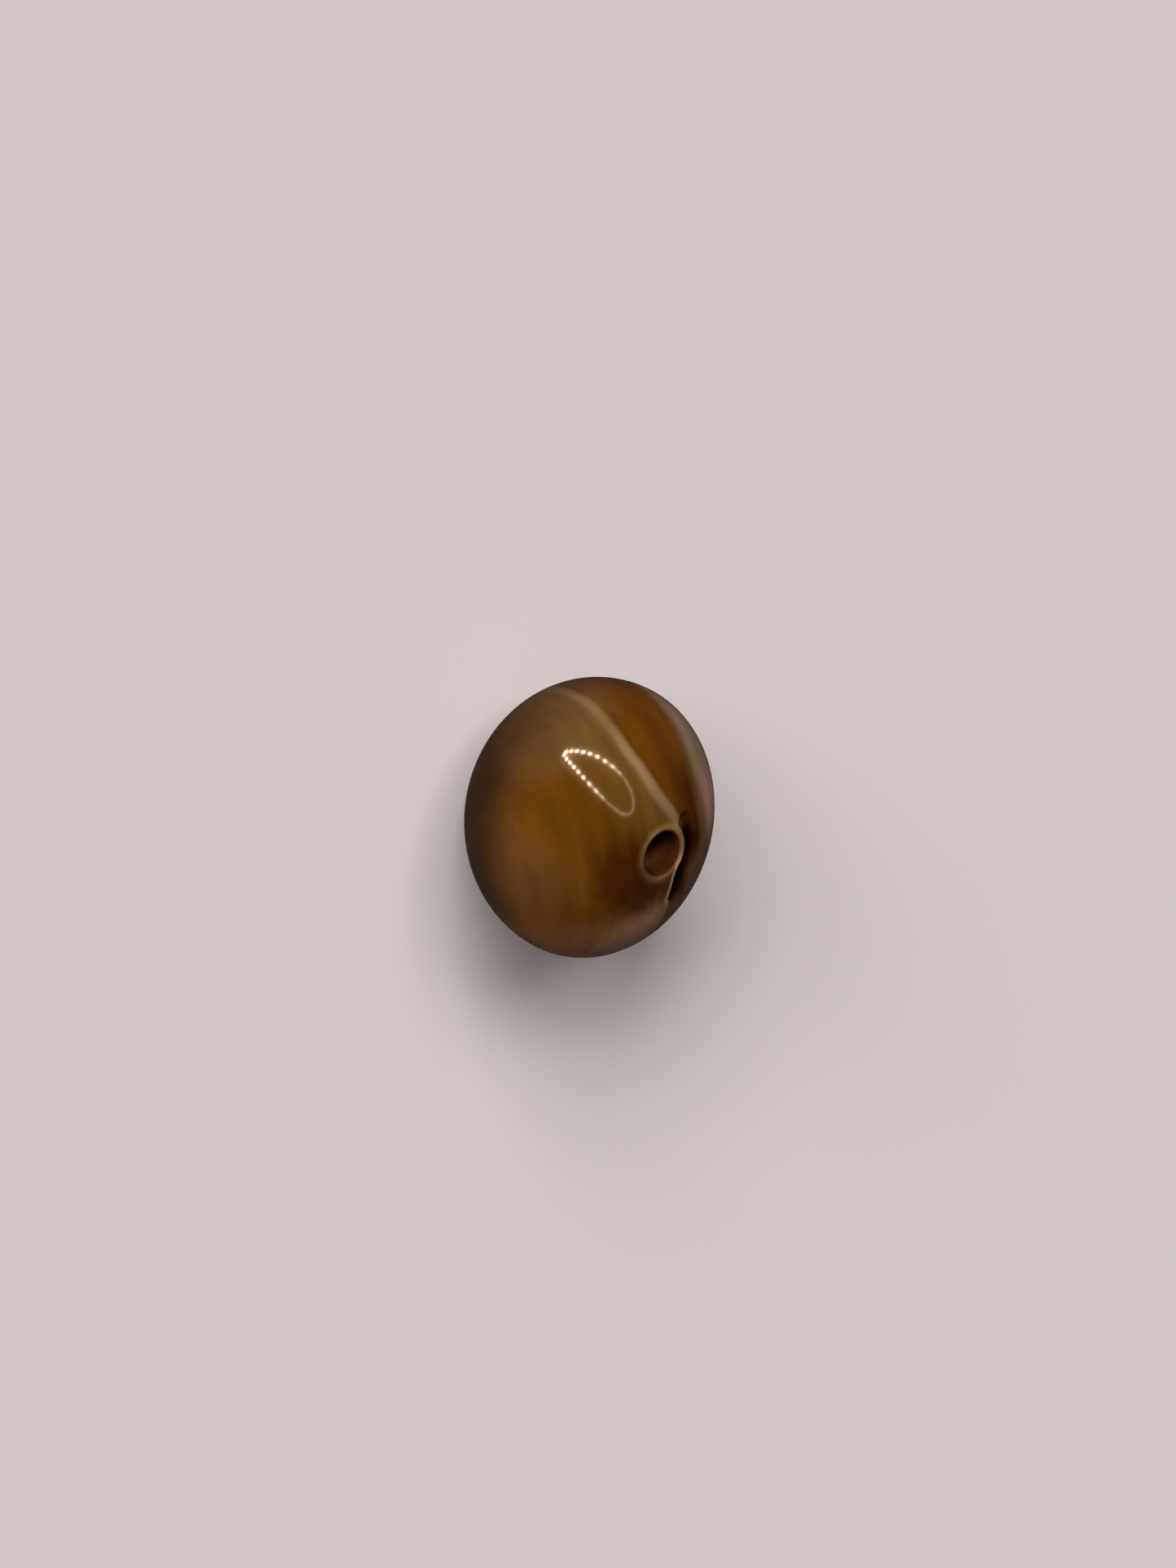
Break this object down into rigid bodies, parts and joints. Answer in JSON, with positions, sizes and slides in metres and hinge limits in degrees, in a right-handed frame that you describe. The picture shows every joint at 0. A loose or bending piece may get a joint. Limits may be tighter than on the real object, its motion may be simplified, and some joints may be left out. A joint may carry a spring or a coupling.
{
  "type": "glass bead",
  "caption": "Oval wound glass bead of amber and brown glass with a straight bore along its short axis and a lap crease beside one mouth.",
  "frame": {"origin": "middle of the flat foot round the lower mouth, on the bore's axis, at the lowest level of the bead", "axes": "+Z along the bore, from the foot to the mouth with the crease; +X along the wide axis of the oval, the way the crease runs out; +Y across it, the side of the mouth that the crease goes round"},
  "size_m": [0.0136, 0.0126, 0.0102],
  "materials": {
    "glass": "fire-polished, cloudy amber and brown, nearly opaque"
  },
  "bodies": {
    "root": {"bead": "glass"}
  },
  "joints": []
}
